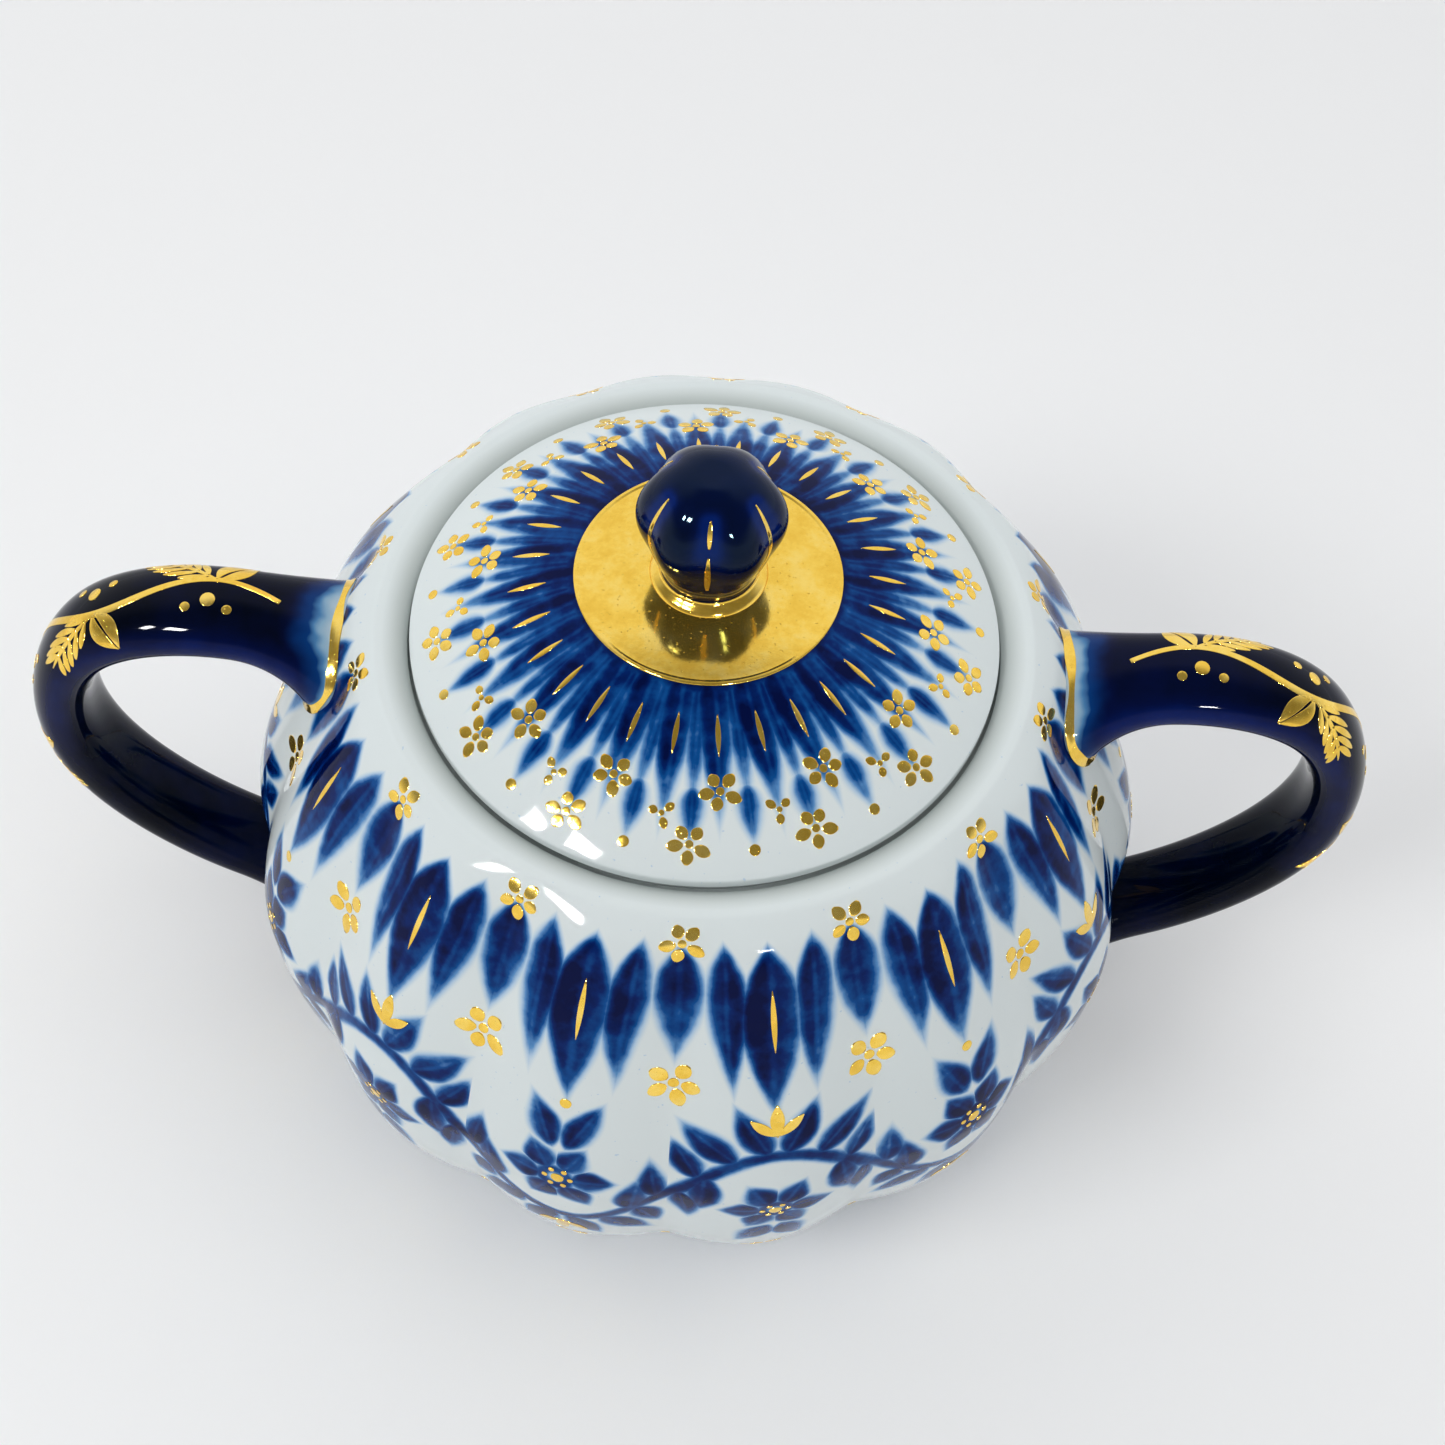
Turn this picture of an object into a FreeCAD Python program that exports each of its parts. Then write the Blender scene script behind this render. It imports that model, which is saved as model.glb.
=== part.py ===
"""Two-handled covered sugar bowl in porcelain: lobed bowl, ear handles, inset lid and bud knob.

Millimetres, +Z up.  The origin is the centre of the foot on the table, and +X runs along the handles.
"""
import math
import os

import FreeCAD, Part

# Bowl, driving dimensions
bowl_height = 77.8
rim_radius = 37.4
belly_radius = 57.8
belly_height = 41.4
foot_radius = 33.0
foot_width = 4.4
foot_height = 2.6
foot_rounding = 0.8
bowl_wall = 3.2
shoulder_fullness = 1.46
base_fullness = 2.55

# Lobes: how many, how deep the grooves are, and where they fade into the round rim and foot
lobe_count = 14
groove_depth = 1.85
groove_softness = 0.15
rim_fade = 7.6
base_fade = 9.0
inner_groove_share = 0.7

# Gallery, the step inside the mouth that carries the lid
gallery_depth = 3.6
ledge_width = 3.25
ledge_thickness = 3.2
lip_width = 2.55
lip_drop = 1.1

# Lid
lid_play = 0.35
lid_stand = 0.2
lid_wall = 3.0
lid_edge_rounding = 0.4
dome_rise = 9.8
disc_radius = 15.2
disc_rise = 0.15
skirt_play = 0.9
skirt_wall = 2.6
skirt_depth = 6.0

# Knob
knob_height = 16.6
collar_radius = 6.7
waist_radius = 5.6
bud_radius = 8.25
bud_top_radius = 5.2
flute_count = 6
flute_depth = 0.8
flute_softness = 0.5

# Handles: an oval strap along a loop in the XZ plane
handle_width = 12.0
handle_thickness = 7.2
handle_overhang = 23.4
handle_top_drop = 4.2
handle_top_overhang = 15.0
upper_root_drop = 9.4
lower_root_height = 15.5
root_sink = 5.0
root_flare = 0.42
flare_length = 11.0

# Bends of the handle's loop, as shares of its reach beyond the upper root and of its drop below its top
outer_bend = (0.78, 0.08)
widest_bend = (1.00, 0.40)
lower_bend = (0.80, 0.74)

# Luting slip between castings
luting = 0.4

# Sampling of the lofted forms
points_per_lobe = 10
bowl_sections = 23
handle_sections = 17

# Values worked out from the dimensions above
base_radius = foot_radius - foot_width / 2
base_height = foot_height
gallery_radius = rim_radius - lip_width
ledge_height = bowl_height - gallery_depth
ledge_radius = gallery_radius - ledge_width
lid_radius = gallery_radius - lid_play
lid_edge_height = bowl_height + lid_stand
disc_height = lid_edge_height + dome_rise
knob_seat_height = disc_height + disc_rise
skirt_radius = ledge_radius - skirt_play
handle_reach = belly_radius + handle_overhang
overrun = 5.0
tolerance = 0.001
Z_AXIS = FreeCAD.Vector(0, 0, 1)
ORIGIN = FreeCAD.Vector(0, 0, 0)


def vec(x, z):
    return FreeCAD.Vector(x, 0, z)


def smooth(value):
    """Eases from 0 to 1 as value goes from 0 to 1."""
    t = min(max(value, 0.0), 1.0)
    return t * t * (3 - 2 * t)


def groove(angle, count, softness):
    """0 on the crest of a lobe, 1 in the groove between two; a crest lies on +X."""
    ridge = math.hypot(math.cos(count * angle / 2), softness)
    crest = math.hypot(1, softness)
    return (crest - ridge) / (crest - softness)


def bowl_outline(turn):
    """Radius and height of the outside, from the base at turn -90 to the rim at turn +90 degrees."""
    c = max(math.cos(turn), 0.0)
    s = abs(math.sin(turn))
    if turn >= 0:
        power = 2 / shoulder_fullness
        radius = rim_radius + (belly_radius - rim_radius) * c ** power
        return radius, belly_height + (bowl_height - belly_height) * s ** power
    power = 2 / base_fullness
    radius = base_radius + (belly_radius - base_radius) * c ** power
    return radius, belly_height - (belly_height - base_height) * s ** power


def bowl_station(turn, grow):
    """The outline moved outwards by grow along its normal, with the depth of the grooves there."""
    radius, height = bowl_outline(turn)
    step = 0.002
    limit = math.pi / 2
    r0, z0 = bowl_outline(max(turn - step, -limit))
    r1, z1 = bowl_outline(min(turn + step, limit))
    length = math.hypot(r1 - r0, z1 - z0)
    if limit - abs(turn) < step:
        normal = (0.0, math.copysign(1.0, turn))
    else:
        normal = ((z1 - z0) / length, (r0 - r1) / length)
    fade = rim_fade if turn >= 0 else base_fade
    inner = rim_radius if turn >= 0 else base_radius
    depth = groove_depth * smooth((radius - inner) / fade)
    return radius + grow * normal[0], height + grow * normal[1], depth


def lobed_wire(radius, height, depth, count, softness):
    """A closed ring of lobes at one height."""
    number = count * points_per_lobe
    points = []
    for i in range(number):
        angle = 2 * math.pi * i / number
        r = radius - depth * groove(angle, count, softness)
        points.append(FreeCAD.Vector(r * math.cos(angle), r * math.sin(angle), height))
    curve = Part.BSplineCurve()
    curve.interpolate(Points=points, PeriodicFlag=True, Parameters=[i / number for i in range(number + 1)])
    return Part.Wire(curve.toShape())


def lobed_bowl(grow, groove_share):
    """The bowl's outside, moved by grow, as a filled solid."""
    wires = []
    for i in range(bowl_sections):
        turn = math.pi * (i / (bowl_sections - 1) - 0.5)
        radius, height, depth = bowl_station(turn, grow)
        wires.append(lobed_wire(radius, height, depth * groove_share, lobe_count, groove_softness))
    return Part.makeLoft(wires, True, False)


def turned(edges):
    """A solid of revolution about Z from edges that close in the XZ plane."""
    return Part.Face(Part.Wire(edges)).revolve(ORIGIN, Z_AXIS, 360)


def line(a, b):
    return Part.LineSegment(a, b).toShape()


def polyline(points):
    return [line(a, b) for a, b in zip(points, points[1:])]


def quarter(centre, start, end):
    """A quarter of a circle about centre."""
    a = start - centre
    b = end - centre
    middle = centre + (a + b) * (a.Length / (a + b).Length)
    return Part.Arc(start, middle, end).toShape()


def circles(solid, radius, height):
    """The level circular edges of a solid that have this radius and lie at this height."""
    found = []
    for edge in solid.Edges:
        if isinstance(edge.Curve, Part.Circle):
            off = max(abs(edge.Curve.Radius - radius), abs(edge.Curve.Center.z - height))
            if off < tolerance:
                found.append(edge)
    return found


def foot_ring():
    outer = foot_radius
    inner = foot_radius - foot_width
    r = foot_rounding
    top = base_height + bowl_wall / 2
    edges = polyline([vec(inner, r), vec(inner, top), vec(outer, top), vec(outer, r)])
    edges.append(quarter(vec(outer - r, r), vec(outer, r), vec(outer - r, 0)))
    edges.append(line(vec(outer - r, 0), vec(inner + r, 0)))
    edges.append(quarter(vec(inner + r, r), vec(inner + r, 0), vec(inner, r)))
    return turned(edges)


def mouth():
    """What the rim, gallery and ledge leave open, as a cutter."""
    under = ledge_height - ledge_thickness - overrun
    top = bowl_height + overrun
    lip = bowl_height - lip_drop
    lip_curve = (lip_width ** 2 + lip_drop ** 2) / (2 * lip_drop)
    halfway = bowl_height - lip_curve + math.sqrt(lip_curve ** 2 - lip_width ** 2 / 4)
    edges = polyline([
        vec(0, top),
        vec(0, under),
        vec(ledge_radius, under),
        vec(ledge_radius, ledge_height),
        vec(gallery_radius, ledge_height),
        vec(gallery_radius, lip),
    ])
    rim = vec(rim_radius, bowl_height)
    edges.append(Part.Arc(vec(gallery_radius, lip), vec(rim_radius - lip_width / 2, halfway), rim).toShape())
    edges += polyline([rim, vec(rim_radius, top), vec(0, top)])
    return turned(edges)


def bowl_body():
    inside = lobed_bowl(-bowl_wall, inner_groove_share)
    below_ledge = Part.makeCylinder(belly_radius, ledge_height - ledge_thickness)
    cavity = inside.common(below_ledge)
    shell = lobed_bowl(0, 1.0).fuse(foot_ring())
    return shell.cut(cavity).cut(mouth())


def dome_centre():
    """Height of the centre, on the axis, of the sphere through the lid's edge and the disc's edge."""
    gap = disc_radius ** 2 + disc_height ** 2 - lid_radius ** 2 - lid_edge_height ** 2
    return gap / (2 * (disc_height - lid_edge_height))


def lid():
    centre = dome_centre()
    sphere = math.hypot(disc_radius, disc_height - centre)
    inner_sphere = sphere - lid_wall
    skirt_inner = skirt_radius - skirt_wall
    skirt_end = ledge_height - skirt_depth

    def on_sphere(size, radius):
        return vec(radius, centre + math.sqrt(size ** 2 - radius ** 2))

    edge = vec(lid_radius, lid_edge_height)
    disc = vec(disc_radius, disc_height)
    under_edge = on_sphere(inner_sphere, skirt_inner)
    under_disc = on_sphere(inner_sphere, disc_radius)
    edges = polyline([
        under_disc,
        vec(0, under_disc.z),
        vec(0, knob_seat_height),
        vec(collar_radius, knob_seat_height),
        disc,
    ])
    edges.append(Part.Arc(disc, on_sphere(sphere, (disc_radius + lid_radius) / 2), edge).toShape())
    edges += polyline([
        edge,
        vec(lid_radius, ledge_height),
        vec(skirt_radius, ledge_height),
        vec(skirt_radius, skirt_end),
        vec(skirt_inner, skirt_end),
        under_edge,
    ])
    under_middle = on_sphere(inner_sphere, (skirt_inner + disc_radius) / 2)
    edges.append(Part.Arc(under_edge, under_middle, under_disc).toShape())
    solid = turned(edges)
    return solid.makeFillet(lid_edge_rounding, circles(solid, lid_radius, lid_edge_height))


def knob():
    """A collar, a waist and a fluted bud with a soft flat top: share of height, radius, share of flutes."""
    swell = bud_radius - waist_radius
    taper = bud_radius - bud_top_radius
    stations = [
        (0.00, collar_radius, 0.0),
        (0.03, collar_radius - 0.35 * (collar_radius - waist_radius), 0.0),
        (0.07, waist_radius, 0.0),
        (0.15, waist_radius + 0.14 * swell, 0.2),
        (0.34, waist_radius + 0.62 * swell, 0.7),
        (0.50, waist_radius + 0.98 * swell, 1.0),
        (0.64, bud_radius, 1.0),
        (0.80, bud_radius - 0.38 * taper, 1.0),
        (0.92, bud_top_radius, 0.6),
        (0.98, bud_top_radius * 0.65, 0.4),
        (1.00, bud_top_radius * 0.35, 0.2),
    ]
    foot = knob_seat_height + luting
    wires = []
    for share, radius, fluting in stations:
        height = foot + share * (knob_height - luting)
        wires.append(lobed_wire(radius, height, flute_depth * fluting, flute_count, flute_softness))
    return Part.makeLoft(wires, True, False)


def knob_luting():
    return Part.makeCylinder(waist_radius, luting, vec(0, knob_seat_height))


def outside_radius(height):
    """Radius of the bowl's outside, on the crest of a lobe, at a height."""
    low = -math.pi / 2
    high = math.pi / 2
    for _ in range(50):
        middle = (low + high) / 2
        if bowl_outline(middle)[1] < height:
            low = middle
        else:
            high = middle
    return bowl_outline(low)[0]


def handle_path():
    """Centre line of the right handle, from the upper root inside the wall to the lower one."""
    root_height = bowl_height - upper_root_drop
    top_height = bowl_height - handle_top_drop
    upper = outside_radius(root_height)
    lower = outside_radius(lower_root_height)
    reach = handle_reach - upper
    drop = top_height - lower_root_height
    points = [
        vec(upper - root_sink, root_height - root_sink / 2),
        vec(upper + handle_top_overhang, top_height),
    ]
    for out, down in (outer_bend, widest_bend, lower_bend):
        points.append(vec(upper + out * reach, top_height - down * drop))
    points.append(vec(lower - root_sink, lower_root_height - root_sink / 2))
    path = Part.BSplineCurve()
    path.interpolate(Points=points)
    return path


def handle_casting():
    """The right handle as an oval strap with flared roots, run on into the bowl's wall at both ends."""
    path = handle_path()
    length = path.length()
    wires = []
    for i in range(handle_sections):
        along = length * i / (handle_sections - 1)
        at = path.parameterAtDistance(along, path.FirstParameter)
        centre = path.value(at)
        tangent = path.tangent(at)[0]
        root = max(0.0, 1 - max(min(along, length - along) - root_sink, 0.0) / flare_length)
        swell = 1 + root_flare * root ** 2
        across = FreeCAD.Vector(0, handle_width / 2 * swell, 0)
        normal = FreeCAD.Vector(-tangent.z, 0, tangent.x) * (handle_thickness / 2 * swell)
        oval = Part.Ellipse(centre + across, centre + normal, centre)
        wires.append(Part.Wire(oval.toShape()))
    return Part.makeLoft(wires, True, False)


def half_turn(shape):
    """The same piece on the other side of the bowl."""
    copy = shape.copy()
    copy.rotate(ORIGIN, Z_AXIS, 180)
    return copy


def build():
    bowl_form = lobed_bowl(0, 1.0)
    slip_form = lobed_bowl(luting, 1.0)
    casting = handle_casting()
    right_handle = casting.cut(slip_form)
    right_luting = casting.common(slip_form).cut(bowl_form)
    return {
        "bowl_body": bowl_body(),
        "right_handle": right_handle,
        "right_handle_luting": right_luting,
        "left_handle": half_turn(right_handle),
        "left_handle_luting": half_turn(right_luting),
        "lid": lid(),
        "knob": knob(),
        "knob_luting": knob_luting(),
    }


os.makedirs("parts", exist_ok=True)
for name, shape in build().items():
    shape.exportStep(f"parts/{name}.step")
    box = shape.BoundBox
    print(
        f"{name}: {len(shape.Solids)} solid(s), valid {shape.isValid()}, {shape.Volume / 1000:.2f} cm3,",
        f"x {box.XMin:.1f} {box.XMax:.1f} y {box.YMin:.1f} {box.YMax:.1f} z {box.ZMin:.1f} {box.ZMax:.1f}",
    )
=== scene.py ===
"""Looks of a covered sugar bowl in white, cobalt and gold porcelain, in metres, on its CAD frame."""

import math

import bmesh
import bpy
import numpy as np
from mathutils import Matrix, Vector


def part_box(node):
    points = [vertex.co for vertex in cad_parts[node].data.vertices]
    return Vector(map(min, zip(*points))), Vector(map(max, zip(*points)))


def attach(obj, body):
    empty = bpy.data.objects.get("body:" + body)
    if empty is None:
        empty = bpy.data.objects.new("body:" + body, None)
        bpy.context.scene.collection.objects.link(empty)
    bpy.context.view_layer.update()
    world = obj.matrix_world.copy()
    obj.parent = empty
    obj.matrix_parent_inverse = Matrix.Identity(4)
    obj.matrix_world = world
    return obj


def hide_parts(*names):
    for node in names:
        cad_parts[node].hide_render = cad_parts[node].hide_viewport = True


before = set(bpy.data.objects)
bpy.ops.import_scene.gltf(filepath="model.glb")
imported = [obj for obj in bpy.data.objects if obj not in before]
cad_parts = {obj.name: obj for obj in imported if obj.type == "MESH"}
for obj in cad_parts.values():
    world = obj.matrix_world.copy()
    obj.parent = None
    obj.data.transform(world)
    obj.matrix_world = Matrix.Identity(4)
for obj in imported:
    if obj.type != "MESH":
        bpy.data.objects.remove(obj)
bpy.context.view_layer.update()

MM = 0.001
TAU = 2 * math.pi
DOWN = math.pi / 2

# Bowl
BOWL_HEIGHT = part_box("bowl_body")[1].z
BELLY_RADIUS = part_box("bowl_body")[1].x
BELLY_HEIGHT = 41.4 * MM
RIM_RADIUS = 38.4 * MM
BOWL_WALL = 3.2 * MM
SHOULDER_FULLNESS = 1.35
BASE_FULLNESS = 2.55
FOOT_RADIUS = 33.0 * MM
FOOT_WIDTH = 4.4 * MM
FOOT_HEIGHT = 2.6 * MM
FOOT_ROUNDING = 0.8 * MM
BASE_RADIUS = FOOT_RADIUS - FOOT_WIDTH / 2
LOBES = 14
GROOVE_DEPTH = 1.85 * MM
GROOVE_SOFTNESS = 0.15
RIM_FADE = 7.6 * MM
# Drops from the rim in millimetres, and the wall's lean from upright there in degrees
RIM_ROLL = ((0.0, 90.0), (0.5, 60.5), (3.1, 55.5), (4.7, 40.0), (7.2, 35.0), (10.4, 33.5))
ROLL_FADE = 14.0 * MM
BASE_FADE = 9.0 * MM
INNER_GROOVE_SHARE = 0.7

# Gallery inside the mouth
GALLERY_DEPTH = 3.6 * MM
LEDGE_WIDTH = 3.25 * MM
LEDGE_THICKNESS = 3.2 * MM
LIP_WIDTH = 3.55 * MM
LIP_DROP = 1.3 * MM
LIP_CURVE = (LIP_WIDTH ** 2 + LIP_DROP ** 2) / (2 * LIP_DROP)
GALLERY_RADIUS = RIM_RADIUS - LIP_WIDTH
LEDGE_HEIGHT = BOWL_HEIGHT - GALLERY_DEPTH
LEDGE_RADIUS = GALLERY_RADIUS - LEDGE_WIDTH
SOFT_EDGE = 0.5 * MM

# Lid
LID_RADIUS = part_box("lid")[1].x
LID_STAND = 0.2 * MM
LID_EDGE_HEIGHT = BOWL_HEIGHT + LID_STAND
LID_EDGE_ROUNDING = 0.4 * MM
FLANGE_THICKNESS = 1.1 * MM
FLANGE_OVERHANG = 1.2 * MM
LID_WALL = 3.0 * MM
DOME_RISE = 9.2 * MM
DISC_RADIUS = 15.2 * MM
DISC_HEIGHT = LID_EDGE_HEIGHT + DOME_RISE
SKIRT_PLAY = 0.9 * MM
SKIRT_RADIUS = LEDGE_RADIUS - SKIRT_PLAY
SKIRT_WALL = 2.6 * MM
SKIRT_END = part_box("lid")[0].z

# Knob
KNOB_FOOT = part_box("lid")[1].z
KNOB_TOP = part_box("knob")[1].z
COLLAR_RADIUS = 6.7 * MM
COLLAR_HEIGHT = 1.25 * MM
WAIST_RADIUS = 5.6 * MM
BUD_RADIUS = 8.25 * MM
BUD_TOP_RADIUS = 5.2 * MM
FLUTES = 6
FLUTE_DEPTH = 0.8 * MM
FLUTE_SOFTNESS = 0.5

# Handles
HANDLE_WIDTH = 12.0 * MM
HANDLE_THICKNESS = 7.2 * MM
HANDLE_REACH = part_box("right_handle")[1].x - HANDLE_THICKNESS / 2
HANDLE_TOP = BOWL_HEIGHT - 4.2 * MM
HANDLE_TOP_OVERHANG = 15.0 * MM
UPPER_ROOT_HEIGHT = BOWL_HEIGHT - 9.4 * MM
LOWER_ROOT_HEIGHT = 15.5 * MM
ROOT_SINK = 5.0 * MM
ROOT_FLARE = 0.42
FLARE_LENGTH = 11.0 * MM
HANDLE_BENDS = ((0.78, 0.08), (1.00, 0.40), (0.80, 0.74))
INNER_SQUARENESS = 2.7
ROOT_FILLET = 1.5 * MM
FILLET_SHARE = 0.55

# Gold: the thickness of its film and half the width of its lines
FILM = 0.05 * MM
GOLD_LINE = 0.32 * MM
ROOT_LINE = 0.52 * MM

# Points on lines, and rows and columns of meshes
OUTLINE_POINTS = 6001
PATH_POINTS = 2001
PROFILE_POINTS = 1201
ROOT_POINTS = 721
HALVINGS = 40
LOBE_COLUMNS = 24
LID_COLUMNS = 252
DISC_COLUMNS = 160
COLLAR_COLUMNS = 96
HANDLE_COLUMNS = 56
HANDLE_ROWS = 150
KNOB_ROWS = 100

# Camera, fitted to the photograph
IMAGE_SIZE = 1445
FOCAL_PIXELS = 1900
SENSOR_WIDTH = 36.0
CAMERA_TARGET = Vector((0, 0, 78.0 * MM))
CAMERA_PITCH = math.radians(56.55)
CAMERA_ROLL = math.radians(4.20)
CAMERA_YAW = math.radians(0.32)
CAMERA_ASIDE = -1.93 * MM
CAMERA_RAISE = 11.70 * MM
CAMERA_DISTANCE = 222.6 * MM


# Forms

def smooth(x):
    t = np.clip(x, 0, 1)
    return t * t * (3 - 2 * t)


def unit(vectors):
    return vectors / np.linalg.norm(vectors, axis=-1, keepdims=True)


def spun(radius, angle, height):
    """Points at a radius and an angle about the axis."""
    return np.stack(np.broadcast_arrays(radius * np.cos(angle), radius * np.sin(angle), height), -1)


def looked_up(x, stations, table):
    """Each column of a table at x."""
    return [np.interp(x, stations, column) for column in table.T]


def groove(angle, count, softness):
    """0 on the crest of a lobe, 1 in the groove between two; a crest lies on +X."""
    ridge_line = np.hypot(np.cos(count * angle / 2), softness)
    crest = math.hypot(1, softness)
    return (crest - ridge_line) / (crest - softness)


def bowl_outline(turn):
    """Radius and height of the bowl's outside, from the base at -90 to the rim at +90 degrees."""
    c = np.clip(np.cos(turn), 0, None)
    s = np.abs(np.sin(turn))
    upper = turn >= 0
    power = np.where(upper, 2 / SHOULDER_FULLNESS, 2 / BASE_FULLNESS)
    end_radius = np.where(upper, RIM_RADIUS, BASE_RADIUS)
    rise = np.where(upper, BOWL_HEIGHT, FOOT_HEIGHT) - BELLY_HEIGHT
    return end_radius + (BELLY_RADIUS - end_radius) * c ** power, BELLY_HEIGHT + rise * s ** power


def groove_depth(radius, upper):
    inner = np.where(upper, RIM_RADIUS, BASE_RADIUS)
    fade = np.where(upper, RIM_FADE, BASE_FADE)
    return GROOVE_DEPTH * smooth((radius - inner) / fade)


def arc_lengths(x, y):
    return np.concatenate([[0.0], np.cumsum(np.hypot(np.diff(x), np.diff(y)))])


def rolled_rim(radius, height):
    """The outline with a broad, nearly even slope beside the rim."""
    drop = arc_lengths(radius, height)
    across = np.gradient(radius, drop)
    down = -np.gradient(height, drop)
    stations, leans = np.array(RIM_ROLL).T
    lean = np.radians(np.interp(drop / MM, stations, leans))
    end = stations[-1] * MM
    step = np.where(drop < end, np.gradient(drop), 0)
    more_across = np.cumsum((np.sin(lean) - across) * step)
    more_down = np.cumsum((np.cos(lean) - down) * step)
    kept = 1 - smooth((drop - end) / ROLL_FADE)
    return radius + more_across * kept, height - more_down * kept


TURNS = np.linspace(math.pi / 2, -math.pi / 2, OUTLINE_POINTS)
OUT_RADIUS, OUT_HEIGHT = rolled_rim(*bowl_outline(TURNS))
OUT_DEPTH = groove_depth(OUT_RADIUS, TURNS >= 0)
OUT_LINE = np.stack([OUT_RADIUS, OUT_HEIGHT, OUT_DEPTH], 1)
OUT_DROP = arc_lengths(OUT_RADIUS, OUT_HEIGHT)
FULL_DROP = OUT_DROP[-1]


def bowl_point(angle, drop):
    """A point on the bowl's outside, at an angle and a drop along the wall from the rim."""
    radius, height, depth = looked_up(drop, OUT_DROP, OUT_LINE)
    return spun(radius - depth * groove(angle, LOBES, GROOVE_SOFTNESS), angle, height)


def bowl_radius(angle, height):
    radius, _, depth = looked_up(height, OUT_HEIGHT[::-1], OUT_LINE[::-1])
    return radius - depth * groove(angle, LOBES, GROOVE_SOFTNESS)


def rounded(corners, steps=5):
    """A line through (radius, height, rounding) corners, each rounded off."""
    points = [np.array(corners[0][:2])]
    for before, corner, after in zip(corners, corners[1:], corners[2:]):
        p = np.array(corner[:2])
        to_before = unit(np.array(before[:2]) - p)
        to_after = unit(np.array(after[:2]) - p)
        half = math.acos(np.clip(to_before @ to_after, -1, 1)) / 2
        reach = corner[2] / math.tan(half)
        centre = p + unit(to_before + to_after) * corner[2] / math.sin(half)
        for i in range(steps + 1):
            spoke = p + to_before * reach * (1 - i / steps) + to_after * reach * (i / steps) - centre
            points.append(centre + unit(spoke) * corner[2])
    points.append(np.array(corners[-1][:2]))
    return np.array(points)


def resampled(points, step):
    """The same line with points at most a step apart."""
    made = [points[0]]
    for a, b in zip(points, points[1:]):
        count = max(1, math.ceil(np.linalg.norm(b - a) / step))
        made += [a + (b - a) * i / count for i in range(1, count + 1)]
    return np.array(made)


def end_slope(knots, values):
    """Slope at the first knot of the cubic through the first four values."""
    return np.polyfit(knots[:4] - knots[0], values[:4], 3)[-2]


def spline(knots, values, t):
    """A smooth cubic through values at knots, with free end slopes, at each t."""
    n = len(knots)
    h = np.diff(knots)
    slope = np.diff(values, axis=0) / h[:, None]
    system = np.zeros((n, n))
    right = np.zeros_like(values)
    system[0, 0] = system[-1, -1] = 1
    right[0] = end_slope(knots, values)
    right[-1] = end_slope(knots[::-1], values[::-1])
    for i in range(1, n - 1):
        system[i, i - 1:i + 2] = h[i], 2 * (h[i] + h[i - 1]), h[i - 1]
        right[i] = 3 * (h[i] * slope[i - 1] + h[i - 1] * slope[i])
    rates = np.linalg.solve(system, right)
    i = np.clip(np.searchsorted(knots, t, side="right") - 1, 0, n - 2)
    s = ((t - knots[i]) / h[i])[:, None]
    d = h[i][:, None]
    return (
        values[i] * (1 + 2 * s) * (1 - s) ** 2
        + rates[i] * d * s * (1 - s) ** 2
        + values[i + 1] * s ** 2 * (3 - 2 * s)
        + rates[i + 1] * d * s ** 2 * (s - 1)
    )


def handle_path():
    """X, Z and direction along the right handle's centre line, with lengths from its start."""
    upper = bowl_radius(0.0, UPPER_ROOT_HEIGHT)
    lower = bowl_radius(0.0, LOWER_ROOT_HEIGHT)
    reach = HANDLE_REACH - upper
    drop = HANDLE_TOP - LOWER_ROOT_HEIGHT
    points = np.array([
        (upper - ROOT_SINK, UPPER_ROOT_HEIGHT - ROOT_SINK / 2),
        (upper + HANDLE_TOP_OVERHANG, HANDLE_TOP),
        *[(upper + out * reach, HANDLE_TOP - down * drop) for out, down in HANDLE_BENDS],
        (lower - ROOT_SINK, LOWER_ROOT_HEIGHT - ROOT_SINK / 2),
    ])
    knots = arc_lengths(*points.T)
    line = spline(knots, points, np.linspace(0, knots[-1], PATH_POINTS))
    along = arc_lengths(*line.T)
    return np.hstack([line, unit(np.gradient(line, along, axis=0))]), along


PATH, PATH_ALONG = handle_path()
PATH_LENGTH = PATH_ALONG[-1]


def handle_section(along, turn, proud=0.0):
    """A point on the bare strap: a length along its path and a turn round it from the outer side."""
    x, z, dx, dz = looked_up(along, PATH_ALONG, PATH)
    end = np.minimum(along, PATH_LENGTH - along)
    root = np.clip(1 - np.clip(end - ROOT_SINK, 0, None) / FLARE_LENGTH, 0, 1)
    swell = 1 + ROOT_FLARE * root ** 2
    c, s = np.cos(turn), np.sin(turn)
    power = np.where(c < 0, 2 / INNER_SQUARENESS, 1.0)
    out = np.sign(c) * np.abs(c) ** power * (HANDLE_THICKNESS / 2 * swell + proud)
    side = np.sign(s) * np.abs(s) ** power * (HANDLE_WIDTH / 2 * swell + proud)
    return np.stack([x - dz * out, side, z + dx * out], -1)


def above_bowl(point):
    """How far a point lies outside the bowl's wall, along the radius."""
    angle = np.arctan2(point[..., 1], point[..., 0])
    return np.hypot(point[..., 0], point[..., 1]) - bowl_radius(angle, point[..., 2])


def root_length(turn, from_end):
    """How far from one end of the path the strap comes out of the wall."""
    low = np.zeros_like(turn)
    high = np.full_like(turn, 3 * ROOT_SINK)
    for _ in range(HALVINGS):
        middle = (low + high) / 2
        along = PATH_LENGTH - middle if from_end else middle
        outside = above_bowl(handle_section(along, turn)) > 0
        high = np.where(outside, middle, high)
        low = np.where(outside, low, middle)
    return high


TURN_TABLE = np.linspace(-math.pi, math.pi, ROOT_POINTS)
UPPER_ROOT = root_length(TURN_TABLE, False)
LOWER_ROOT = root_length(TURN_TABLE, True)


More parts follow.
